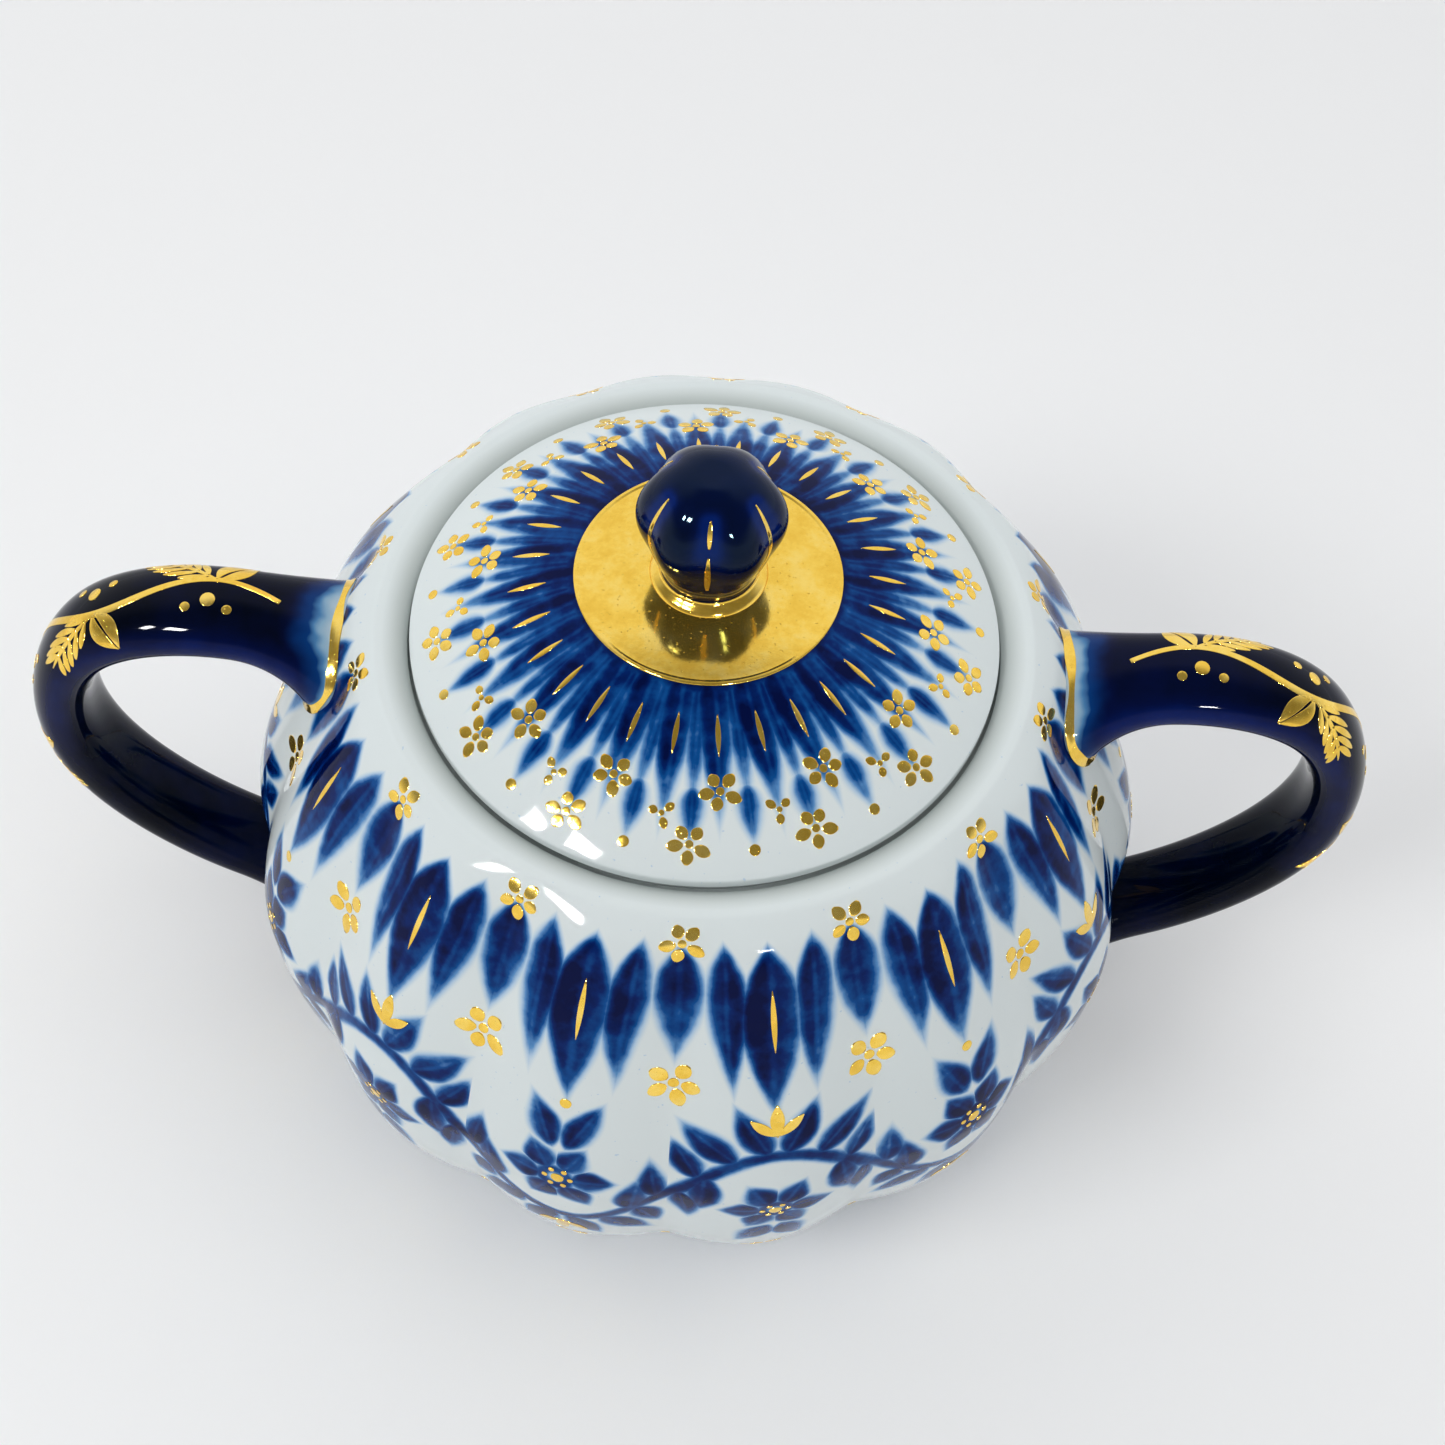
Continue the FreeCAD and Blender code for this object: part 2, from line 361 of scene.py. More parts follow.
def root_limits(turn):
    """Where along the path the strap leaves the wall above and meets it again below."""
    wrapped = (turn + math.pi) % TAU - math.pi
    upper = np.interp(wrapped, TURN_TABLE, UPPER_ROOT)
    return upper, PATH_LENGTH - np.interp(wrapped, TURN_TABLE, LOWER_ROOT)


def root_distance(along, turn):
    """Length of strap between a point and the nearer root."""
    upper, lower = root_limits(turn)
    return np.minimum(along - upper, lower - along)


def handle_point(along, turn):
    """A point on the right handle, with the soft fillets at its roots."""
    near = np.clip(1 - root_distance(along, turn) / ROOT_FILLET, 0, 1)
    return handle_section(along, turn, ROOT_FILLET * (1 - np.sqrt(1 - near ** 2)) * FILLET_SHARE)


def handle_middle(along, turn):
    x, z, _, _ = looked_up(along, PATH_ALONG, PATH)
    return np.array([x, 0, z])


def knob_profile():
    """Height, radius and flute depth down the knob, with lengths from its top."""
    swell = BUD_RADIUS - WAIST_RADIUS
    taper = BUD_RADIUS - BUD_TOP_RADIUS
    stations = np.array([
        (0.00, COLLAR_RADIUS, 0.0),
        (0.03, COLLAR_RADIUS - 0.35 * (COLLAR_RADIUS - WAIST_RADIUS), 0.0),
        (0.07, WAIST_RADIUS, 0.0),
        (0.15, WAIST_RADIUS + 0.14 * swell, 0.2),
        (0.34, WAIST_RADIUS + 0.62 * swell, 0.7),
        (0.50, WAIST_RADIUS + 0.98 * swell, 1.0),
        (0.64, BUD_RADIUS, 1.0),
        (0.80, BUD_RADIUS - 0.38 * taper, 0.75),
        (0.92, BUD_TOP_RADIUS, 0.25),
        (0.98, BUD_TOP_RADIUS * 0.65, 0.1),
        (1.00, BUD_TOP_RADIUS * 0.35, 0.0),
    ])
    stations[:, 0] = KNOB_FOOT + stations[:, 0] * (KNOB_TOP - KNOB_FOOT)
    stations[:, 2] *= FLUTE_DEPTH
    knots = arc_lengths(*stations.T[:2])
    fine = spline(knots, stations, np.linspace(0, knots[-1], PROFILE_POINTS))[::-1]
    fine = np.vstack([[fine[0, 0], 0.0, 0.0], fine])
    return fine, arc_lengths(*fine.T[:2])


KNOB_LINE, KNOB_DROP = knob_profile()


def knob_point(angle, drop):
    """A point on the knob, at an angle and a drop along its skin from the top."""
    height, radius, depth = looked_up(drop, KNOB_DROP, KNOB_LINE)
    return spun(radius - depth * groove(angle, FLUTES, FLUTE_SOFTNESS), angle, height)


DOME_CENTRE = (DISC_RADIUS ** 2 + DISC_HEIGHT ** 2 - LID_RADIUS ** 2 - LID_EDGE_HEIGHT ** 2) / (2 * DOME_RISE)
DOME_RADIUS = math.hypot(DISC_RADIUS, DISC_HEIGHT - DOME_CENTRE)


def dome(radius, size=DOME_RADIUS):
    return DOME_CENTRE + np.sqrt(size ** 2 - radius ** 2)


def lid_point(angle, radius):
    """A point on top of the lid, outside the gilt disc."""
    return spun(radius, angle, dome(radius))


def bowl_middle(angle, drop):
    return np.array([0, 0, BELLY_HEIGHT])


ANGLE_STEP = 1e-3
LENGTH_STEP = 0.01 * MM


class Surface:
    """A skin that gold is drawn on: its point for two coordinates, and a point inside it."""

    def __init__(self, point, inside=bowl_middle, steps=(ANGLE_STEP, LENGTH_STEP)):
        self.point = point
        self.inside = inside
        self.steps = steps

    def slopes(self, a, b):
        da, db = self.steps
        return (
            (self.point(a + da, b) - self.point(a - da, b)) / (2 * da),
            (self.point(a, b + db) - self.point(a, b - db)) / (2 * db),
        )

    def outward(self, a, b):
        """Unit normals that point out of the skin."""
        normal = unit(np.cross(*self.slopes(a, b)))
        out = self.point(a[:1], b[:1])[0] - self.inside(a[0], b[0])
        return normal if normal[0] @ out > 0 else -normal

    def scales(self, a, b):
        """How much each coordinate changes over a metre of skin."""
        slopes = self.slopes(np.array([a]), np.array([b]))
        return [1 / np.linalg.norm(slope) for slope in slopes]


BOWL_SKIN = Surface(bowl_point)
LID_SKIN = Surface(lid_point)
KNOB_SKIN = Surface(knob_point)
HANDLE_SKIN = Surface(handle_point, handle_middle, (LENGTH_STEP, ANGLE_STEP))


# Meshes

def skin(rings, uv=None, pole_start=None, pole_end=None):
    """Points, faces and paint coordinates of a closed skin over rings."""
    rows, columns = rings.shape[:2]
    points = [tuple(p) for p in rings.reshape(-1, 3)]
    if uv is None:
        uv = np.zeros((rows, columns + 1, 2))
    faces = []
    coordinates = []
    for i in range(rows - 1):
        for j in range(columns):
            k = (j + 1) % columns
            a, b = i * columns, (i + 1) * columns
            faces.append((a + j, a + k, b + k, b + j))
            coordinates += [uv[i, j], uv[i, j + 1], uv[i + 1, j + 1], uv[i + 1, j]]
    for pole, row in ((pole_start, 0), (pole_end, rows - 1)):
        if pole is None:
            faces.append(tuple(row * columns + j for j in range(columns)))
            coordinates += [uv[row, j] for j in range(columns)]
            continue
        points.append(tuple(pole))
        for j in range(columns):
            faces.append((row * columns + j, row * columns + (j + 1) % columns, len(points) - 1))
            coordinates += [uv[row, j], uv[row, j + 1], (uv[row, j] + uv[row, j + 1]) / 2]
    return points, faces, coordinates


def linked(name, data):
    made = bpy.data.objects.new(name, data)
    bpy.context.scene.collection.objects.link(made)
    return made


def add_piece(name, skins, body, material, stands_for=()):
    """One smooth mesh from several skins, riding on a body."""
    points = []
    faces = []
    coordinates = []
    for p, f, c in skins:
        faces += [tuple(i + len(points) for i in face) for face in f]
        points += list(p)
        coordinates += c
    mesh = bpy.data.meshes.new(name)
    mesh.from_pydata(points, [], faces)
    layer = mesh.uv_layers.new(name="paint")
    layer.data.foreach_set("uv", np.array(coordinates, np.float32).ravel())
    tidy = bmesh.new()
    tidy.from_mesh(mesh)
    bmesh.ops.recalc_face_normals(tidy, faces=tidy.faces)
    tidy.to_mesh(mesh)
    tidy.free()
    mesh.shade_smooth()
    mesh.materials.append(material)
    piece = linked(name, mesh)
    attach(piece, body)
    if stands_for:
        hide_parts(*stands_for)


def turned(profile, columns, depth=0.0, along=0.0, count=1, softness=1.0):
    """The skin of a profile turned about the axis that it starts and ends on, with grooves."""
    depth = np.broadcast_to(depth, len(profile))[1:-1, None]
    along = np.broadcast_to(along, len(profile))[1:-1, None]
    angle = columns * TAU
    r = profile[1:-1, 0, None] - depth * groove(angle, count, softness)
    rings = spun(r, angle, profile[1:-1, 1, None])
    uv = np.stack(np.broadcast_arrays(np.append(columns, 1.0), along), -1)
    return skin(rings, uv, (0, 0, profile[0, 1]), (0, 0, profile[-1, 1]))


def even_columns(number):
    return np.arange(number) / number


def lobe_columns(lobes, per_lobe):
    """Shares of a full turn, closer together in the grooves than on the crests."""
    crowding = 0.6
    even = even_columns(per_lobe)
    offsets = even + crowding * np.sin(TAU * even) / TAU
    return np.concatenate([(i + offsets) / lobes for i in range(lobes)])


# Gold, laid on as a thin flat film

# Shares of the half width and of the film's thickness, round the section of a line
LINE_SECTION = ((-1, -0.6), (-0.97, 0.9), (-0.9, 1), (0, 1), (0.9, 1), (0.97, 0.9), (1, -0.6), (0, -1.5))


def gold_line(surface, a, b, half_width):
    """A line of gold along a path in a surface's own coordinates."""
    normal = surface.outward(a, b)
    side = unit(np.cross(normal, np.gradient(surface.point(a, b), axis=0)))
    to_steps = np.linalg.pinv(np.stack(surface.slopes(a, b), -1))
    da, db = (to_steps @ side[..., None])[..., 0].T * half_width
    rings = [
        surface.point(a + da * share, b + db * share) + normal * lift * FILM
        for share, lift in LINE_SECTION
    ]
    return skin(np.stack(rings, 1))


def drawn(surface, at, x, y, half_width):
    """A line of gold along a path in metres about a place on a surface."""
    scale_a, scale_b = surface.scales(*at)
    return gold_line(surface, at[0] + x * scale_a, at[1] + y * scale_b, half_width)


def stroke(surface, at, turn, along, aside, half_width):
    """A line of gold through points along and beside a direction from a place."""
    x = along * math.sin(turn) + aside * math.cos(turn)
    y = along * math.cos(turn) - aside * math.sin(turn)
    return drawn(surface, at, x, y, half_width)


def dot(surface, at, radius, x=0.0, y=0.0):
    along = np.sin(np.linspace(-1.45, 1.45, 9)) * radius
    return drawn(surface, at, x + 0 * along, y + along, np.sqrt(radius ** 2 - along ** 2))


def petal(surface, at, start, turn, length, half_width, fullness=0.8):
    """A pointed oval of gold; start is a distance from the place along the turn."""
    t = np.linspace(0, 1, 11)
    width = half_width * np.sin(math.pi * np.clip(t, 0.02, 0.98)) ** fullness
    return stroke(surface, at, turn, start + length * t, 0, width)


def unsteady(i):
    """A number from -1 to 1, for what a hand does differently each time."""
    return math.sin(7.3 * i + 1.7 * math.sin(3.1 * i))


def floret(surface, at, size, petals=5):
    """A dot with round petals about it, each a little different."""
    made = [dot(surface, at, 0.20 * size)]
    first = 37 * at[0] + at[1] / MM
    for i in range(petals):
        turn = TAU * (i + 0.16 * unsteady(first) + 0.08 * unsteady(first + i)) / petals
        length = (0.70 + 0.08 * unsteady(first + 2 * i)) * size
        made.append(petal(surface, at, 0.27 * size, turn, length, 0.29 * size, 0.55))
    return made


def solid_leaf(surface, at, turn, length, half_width):
    """A leaf of gold in two halves, with a fine bare vein between them."""
    t = np.linspace(0, 1, 15)
    width = half_width * np.sin(math.pi * np.clip(t, 0.015, 0.985) ** 0.85)
    bend = 0.10 * length * t ** 2
    made = []
    for side in (-1, 1):
        aside = side * (0.52 * width + 0.06 * MM) + bend
        made.append(stroke(surface, at, turn, length * t, aside, 0.45 * width))
    return made


def feathered_leaf(surface, at, turn, length, half_width):
    """A leaf of gold drawn as a vein with slanting strokes on both sides."""
    t = np.linspace(0, 1, 13)
    taper = np.sin(math.pi * (0.04 + 0.92 * t)) ** 0.7
    made = [stroke(surface, at, turn, length * t, 0.08 * length * t ** 2, 0.34 * MM * taper)]
    strokes = 5
    for i in range(strokes):
        share = 0.14 + 0.62 * i / (strokes - 1)
        reach = half_width * math.sin(math.pi * (0.18 + 0.72 * share)) ** 0.8
        for side in (-1, 1):
            along = length * share + 1.25 * reach * t
            aside = side * reach * (t ** 0.8) + 0.08 * length * share ** 2
            made.append(stroke(surface, at, turn, along, aside, 0.44 * MM * taper))
    return made


# Node fields

def feed(value, socket):
    """Join a field or an output to an input, or set the input's value."""
    source = value.socket if isinstance(value, Field) else value
    if isinstance(source, bpy.types.NodeSocket):
        socket.id_data.links.new(source, socket)
    else:
        socket.default_value = source


def set_inputs(node, values):
    for name, value in values.items():
        feed(value, node.inputs[name])


def add_node(tree, kind, inputs=(), **settings):
    """A new shader node with its settings and its inputs, by name or number."""
    node = tree.nodes.new("ShaderNode" + kind)
    for name, value in settings.items():
        setattr(node, name, value)
    set_inputs(node, dict(inputs))
    return node


def math_node(operation):
    """A method of Field."""
    return lambda field, *others: field.math(operation, *others)


class Field:
    """A number that varies over a surface; arithmetic on it adds math nodes to its tree."""

    __add__ = math_node("ADD")
    __sub__ = math_node("SUBTRACT")
    __mul__ = math_node("MULTIPLY")
    __truediv__ = math_node("DIVIDE")
    size = math_node("ABSOLUTE")
    fraction = math_node("FRACT")
    most = math_node("MAXIMUM")
    least = math_node("MINIMUM")
    root = math_node("SQRT")

    def __init__(self, socket):
        self.socket = socket
        self.tree = socket.id_data

    def math(self, operation, *others):
        inputs = dict(enumerate((self, *others)))
        return Field(add_node(self.tree, "Math", inputs, operation=operation).outputs[0])

    def __rsub__(self, other):
        return self.math("MULTIPLY_ADD", -1.0, other)

    def ease(self, low, high):
        """0 below low and 1 above high, with a soft step between."""
        inputs = {"Value": self, "From Min": low, "From Max": high}
        node = add_node(self.tree, "MapRange", inputs, interpolation_type="SMOOTHSTEP")
        return Field(node.outputs["Result"])

    def colours(self, stops):
        """A colour for the number, from (place, colour) stops."""
        node = add_node(self.tree, "ValToRGB", {"Fac": self})
        elements = node.color_ramp.elements
        while len(elements) < len(stops):
            elements.new(0.5)
        for element, (place_on_ramp, colour) in zip(elements, stops):
            element.position = place_on_ramp
            element.color = (*colour, 1)
        return node.outputs["Color"]


def split(vector):
    return [Field(part) for part in add_node(vector.id_data, "SeparateXYZ", {0: vector}).outputs]


def place(tree):
    """Coordinates on the piece, in metres."""
    return add_node(tree, "TexCoord").outputs["Object"]


def paint_coordinates(tree):
    return split(add_node(tree, "UVMap", uv_map="paint").outputs["UV"])[:2]


def noise_node(tree, per_metre, detail, roughness):
    inputs = {"Vector": place(tree), "Scale": per_metre, "Detail": detail, "Roughness": roughness}
    return add_node(tree, "TexNoise", inputs)


def noise(tree, per_metre, detail=2.0, roughness=0.5):
    return Field(noise_node(tree, per_metre, detail, roughness).outputs["Fac"])


def wobble(tree, per_metre):
    """Two numbers from about -0.5 to 0.5 that drift over the piece."""
    colour = noise_node(tree, per_metre, 1.0, 0.5).outputs["Color"]
    red, green, _ = add_node(tree, "SeparateColor", {0: colour}).outputs
    return Field(red) - 0.5, Field(green) - 0.5


def mixed(share, first, second):
    """A colour between two; these are the numbers of a Mix node's sockets for colours."""
    node = add_node(share.tree, "Mix", {0: share, 6: first, 7: second}, data_type="RGBA")
    return node.outputs[2]


def bump(height, distance):
    return add_node(height.tree, "Bump", {"Height": height, "Distance": distance}).outputs["Normal"]


def new_material(name):
    material = bpy.data.materials.new(name)
    material.use_nodes = True
    tree = material.node_tree
    return material, tree, tree.nodes["Principled BSDF"]


# Brushwork in cobalt; lengths are in millimetres

BRUSH_SOFTNESS = 1.1


def brush_leaf(x, y, start, turn, length, half_width, weight=1.0):
    """Pigment of a leaf in one stroke: dark at its start and along one side, with a paler vein."""
    c, s = math.cos(turn), math.sin(turn)
    dx = x - start[0]
    dy = y - start[1]
    along = ((dx * c + dy * s) / length).least(1.5)
    across = (dy * c - dx * s) / half_width
    t = along * (1.35 - along * 0.35)
    soft = BRUSH_SOFTNESS / half_width
    depth = t * (1 - t) * 4.0 - across.size()
    vein = across.size().ease(0.02, 0.26) * 0.20 + 0.80
    tone = across * 0.30 - along * 0.30 + 0.96
    return depth.ease(-soft, 0.8 * soft) * tone * vein * weight


def brush_line(offset, half_width, weight=1.0):
    return (1 - offset.size().ease(half_width * 0.3, half_width + BRUSH_SOFTNESS)) * weight


def layered(paint, *others):
    """The strongest of several fields at each point."""
    for other in others:
        paint = paint.most(other)
    return paint


def folded(x, y, count):
    """Coordinates along and across the nearest of a number of spokes about a centre."""
    distance = (x * x + y * y).root()
    turn = y.math("ARCTAN2", x) * (count / TAU)
    aside = ((turn + 0.5).fraction() - 0.5) * (TAU / count)
    return distance * aside.math("COSINE"), distance * aside.math("SINE")


def blossom(x, y, size):
    """A flower of six strokes about a ring."""
    out, aside = folded(x, y, 6)
    petals = brush_leaf(out, aside, (0.26 * size, 0), 0.0, 0.76 * size, 0.28 * size)
    return petals.most(brush_line((x * x + y * y).root() - 0.24 * size, 0.3, 0.8))


GLAZE_WHITE = (0.735, 0.795, 0.80)
PIGMENT_STOPS = (
    (0.0, GLAZE_WHITE),
    (0.15, (0.43, 0.59, 0.75)),
    (0.31, (0.10, 0.27, 0.55)),
    (0.50, (0.004, 0.072, 0.28)),
    (0.74, (0.0005, 0.016, 0.125)),
    (1.0, (0.0003, 0.004, 0.048)),
)
# Greys of the painted shade on the lip's inner slope under the lid's edge; the shade itself is painted, not a
# tint of the glaze
PAINTED_SHADE_STOPS = (
    (0.0, GLAZE_WHITE),
    (0.5, (0.58, 0.63, 0.62)),
    (1.0, (0.43, 0.47, 0.455)),
)
GLAZE_SHEEN = 0.07
KNOB_SHEEN = 0.15
KNOB_SHEEN_TINT = (0.5, 0.85, 1.0, 1)


def glaze(tree, shader, pigment, bare=None, painted_shade=None):
    """White porcelain with cobalt under a clear gloss glaze, greyed with a painted shade where one is given.
    """
    mottle = noise(tree, 420, 3.0) * 1.1 + 0.45
    pools = noise(tree, 95) * 0.9 + 0.55
    specks = noise(tree, 1700, 1.0).ease(0.74, 0.80) * 0.10
    colour = (pigment * mottle * pools).most(specks).colours(PIGMENT_STOPS)
    # Painted shade, where given: grey mixed into the glaze's colour
    if painted_shade is not None:
        colour = mixed(painted_shade.ease(0, 0.1), colour, painted_shade.colours(PAINTED_SHADE_STOPS))
    polish = noise(tree, 140) * 0.035 + 0.03
    if bare is not None:
        polish = polish + bare * 0.6
    ripple = noise(tree, 55, 1.0) + noise(tree, 900, 1.0) * 0.02
    set_inputs(shader, {
        "Base Color": colour,
        "Roughness": polish,
        "Normal": bump(ripple, 0.12 * MM),
        "IOR": 1.52,
        "Specular IOR Level": GLAZE_SHEEN,
    })


# Where the bands of the bowl's painting lie, as drops from the rim
COLLAR_DROP = 4.2
GARLAND_DROP = 42.0
GARLAND_SWAY = 9.0
SPRIG_DROP = 77.0
BLOSSOM_OFFSET = 2.4
BLOSSOM_SIZE = 6.4


def collar_paint(x, aside, from_groove, y):
    """Leaves of three lengths that hang from the rim."""
    return layered(
        brush_leaf(x, y, (0, COLLAR_DROP), DOWN, 20.5, 3.1),
        brush_leaf(from_groove, y, (0, COLLAR_DROP + 0.3), DOWN, 14, 2.5),
        brush_leaf(aside, y, (4.9, COLLAR_DROP + 0.1), DOWN, 17, 1.9, 0.94),
    )


def garland_paint(x, aside, share, y):
    """A waving stem with leaves, and a blossom in each bend; y runs out of the bend."""
    steep = (share * math.pi).math("SINE")
    height = (share * math.pi).math("COSINE") * GARLAND_SWAY + y
    paint = brush_line(height / (steep * steep * 1.3 + 1.0).root(), 0.5, 0.72)
    leaves = (
        ((0.9, -9.2), -64, 8.2, 1.75),
        ((4.8, -7.8), -44, 8.0, 1.8),
        ((8.9, -4.3), -66, 6.2, 1.5),
        ((8.0, -4.8), 80, 8.0, 1.7),
        ((11.3, -0.9), 97, 7.0, 1.4),
        ((0.9, 8.2), 66, 7.6, 1.7),
    )
    for start, degrees, length, half_width in leaves:
        paint = paint.most(brush_leaf(aside, y, start, math.radians(degrees), length, half_width, 0.95))
    return paint.most(blossom(x, y - BLOSSOM_OFFSET, BLOSSOM_SIZE))


def base_paint(x, from_groove, y):
    """Sprigs of three leaves, and leaves on a double line above the foot."""
    foot = FULL_DROP / MM
    spread = math.radians(40)
    return layered(
        brush_leaf(from_groove, y, (0, SPRIG_DROP), -DOWN, 12, 2.1, 0.95),
        brush_leaf(from_groove, y, (0.3, SPRIG_DROP), spread - DOWN, 9.5, 1.7, 0.9),
        brush_leaf(x, y, (0, foot - 5.2), -DOWN, 16, 2.9),
        brush_leaf(from_groove, y, (0, foot - 5.2), -DOWN, 10, 2.2),
        brush_line(y - (foot - 4.2), 0.45, 0.85),
        brush_line(y - (foot - 2.4), 0.15, 0.6),
    )


def bowl_glaze():
    material, tree, shader = new_material("painted_bowl_glaze")
    u, v = paint_coordinates(tree)
    drift_x, drift_y = wobble(tree, 75)
    px, py, pz = split(place(tree))
    lobe = u * LOBES + 0.5
    share = lobe.fraction() - 0.5
    flip = (lobe * 0.5).fraction().math("GREATER_THAN", 0.5) * 2.0 - 1.0
    lobe_width = (px * px + py * py).root() * (TAU / LOBES / MM)
    x = share * lobe_width + drift_x * 1.7
    y = v / MM + drift_y * 1.7
    aside = x.size()
    from_groove = (0.5 - share.size()) * lobe_width
    pigment = layered(
        collar_paint(x, aside, from_groove, y),
        garland_paint(x, aside, share, (y - GARLAND_DROP) * flip),
        base_paint(x, from_groove, y),
    ) * v.ease(0, 2 * MM)
    bare = 1 - pz.ease(0.05 * MM, 0.3 * MM)
    # Painted shade: grey that rises across the lip's inner slope beside the lid's edge and fades out down the
    # gallery
    into_mouth = v * -1.0
    painted_shade = into_mouth.ease(0.2 * MM, 4.2 * MM) * (1 - into_mouth.ease(5 * MM, 9 * MM))
    glaze(tree, shader, pigment, bare, painted_shade)
    return material


LID_PETALS = 28


def lid_glaze():
    material, tree, shader = new_material("painted_lid_glaze")
    u, v = paint_coordinates(tree)
    drift_x, drift_y = wobble(tree, 90)
    y = v / MM + drift_y * 1.3
    petal_width = v * (TAU / LID_PETALS / MM)
    share = (u * LID_PETALS).fraction() - 0.5
    x = share * petal_width + drift_x * 1.1
    from_edge = (0.5 - share.size()) * petal_width
    paint = layered(
        brush_leaf(x, y, (0, 11.5), DOWN, 16.5, 1.85),
        brush_leaf(from_edge, y, (0, 13.5), DOWN, 12.5, 1.35, 0.9),
        1 - y.ease(14.5, 18.5),
        brush_leaf(from_edge, y, (0, 25.8), DOWN, 5.0, 1.1, 0.85),
    )
    glaze(tree, shader, paint * (1 - y.ease(32.0, 33.0)))
    return material


COBALT_STOPS = (
    (0.15, (0.0010, 0.012, 0.120)),
    (0.40, (0.0006, 0.0042, 0.044)),
    (0.75, (0.0004, 0.0016, 0.007)),
)
RUN_STOPS = (
    (0.15, (0.44, 0.54, 0.61)),
    (0.33, (0.24, 0.40, 0.55)),
    (0.42, (0.07, 0.21, 0.42)),
    (0.52, (0.002, 0.036, 0.17)),
    (0.90, (0.0006, 0.005, 0.055)),
)
GOLD_STOPS = (
    (0.0, (0.86, 0.54, 0.07)),
    (0.5, (0.93, 0.62, 0.10)),
    (1.0, (0.95, 0.68, 0.16)),
)


def cobalt_glaze(name):
    """Deep cobalt under a clear gloss glaze, and a field for how thick it lies."""
    material, tree, shader = new_material(name)
    ripple = noise(tree, 70, 1.0) + noise(tree, 800, 1.0) * 0.03
    set_inputs(shader, {
        "Roughness": noise(tree, 160) * 0.04 + 0.03,
        "Normal": bump(ripple, 0.10 * MM),
        "IOR": 1.54,
        "Specular IOR Level": GLAZE_SHEEN,
    })
    return material, tree, shader, noise(tree, 60) * 0.6 + noise(tree, 300) * 0.2 + 0.3


def knob_glaze():
    """Thinner cobalt than on the handles, most of all in the flutes, under a brighter glaze."""
    material, tree, shader, depth = cobalt_glaze("knob_cobalt")
    u, v = paint_coordinates(tree)
    from_flute = ((u * FLUTES).fraction() - 0.5).size()
    thin = (1 - from_flute.ease(0.05, 0.38)) * v.ease(4 * MM, 6 * MM) * (1 - v.ease(9 * MM, 14 * MM))
    set_inputs(shader, {
        "Base Color": (depth - thin * 0.5 - 0.15).colours(COBALT_STOPS),
        "Specular IOR Level": KNOB_SHEEN,
        "Specular Tint": KNOB_SHEEN_TINT,
    })
    return material


def handle_glaze():
    """Cobalt, thinner along the sides of the strap, that runs out into white glaze at the roots."""
    material, tree, shader, depth = cobalt_glaze("handle_cobalt")
    u, v = paint_coordinates(tree)
    from_outside = (v - 0.5).size()
    thin = from_outside.ease(0.10, 0.24) * (1 - from_outside.ease(0.27, 0.38))
    high = split(place(tree))[2].ease(36 * MM, 64 * MM)
    drift, _ = wobble(tree, 110)
    streak, _ = wobble(tree, 420)
    start = u / MM + drift * 6.5 + streak * 1.6 + 1.1
    run = (start / 6.0).colours(RUN_STOPS)
    deep = (depth - thin * high * 0.42).colours(COBALT_STOPS)
    feed(mixed(start.ease(3.5, 6.5), run, deep), shader.inputs["Base Color"])
    return material


def gilding():
    """Bright gold fired on the glaze, a little mottled, pitted and rubbed."""
    material, tree, shader = new_material("gilding")
    blotch = noise(tree, 240, 4.0, 0.6)
    grain = noise(tree, 1500, 3.0, 0.6)
    pits = noise(tree, 2600, 1.0).ease(0.70, 0.78)
    rubbed = (blotch * 0.75 + grain * 0.25).ease(0.36, 0.66) - pits * 0.9
    set_inputs(shader, {
        "Base Color": rubbed.colours(GOLD_STOPS),
        "Roughness": grain * 0.10 + blotch * 0.06 + pits * 0.2 + 0.02,
        "Normal": bump(blotch + grain * 0.3 - pits, 0.015 * MM),
        "Metallic": 0.9,
        "Specular IOR Level": 0.1,
    })
    return material


# Pieces

def foot_profile():
    """From the middle of the underside round the foot ring to the wall, and the radius there."""
    inner = FOOT_RADIUS - FOOT_WIDTH
    crease = FOOT_HEIGHT + 0.15 * MM
    wall_start = FOOT_RADIUS + 1.6 * MM
    line = rounded([
        (0, FOOT_HEIGHT),
        (inner, FOOT_HEIGHT, SOFT_EDGE),
        (inner, 0, FOOT_ROUNDING),
        (FOOT_RADIUS, 0, FOOT_ROUNDING),
        (FOOT_RADIUS, crease, SOFT_EDGE),
        (wall_start, crease),
    ])
    return resampled(line, 3 * MM)[:-1], wall_start


def inside_profile():
    """The bowl's inside from under the ledge to its floor, with the depth of the grooves."""
    turns = np.linspace(math.pi / 2, -math.pi / 2, PROFILE_POINTS)
    radius, height = bowl_outline(turns)
    step = np.gradient(np.stack([radius, height], 1), axis=0)
    step /= np.linalg.norm(step, axis=1)[:, None] + 1e-15
    line = np.stack([radius + BOWL_WALL * step[:, 1], height - BOWL_WALL * step[:, 0]], 1)
    depth = INNER_GROOVE_SHARE * groove_depth(radius, turns >= 0)
    top = LEDGE_HEIGHT - LEDGE_THICKNESS - 0.6 * MM
    shown = (line[:, 1] < top) & (turns > -math.pi / 2 + 0.02)
    return line[shown][::14], depth[shown][::14]


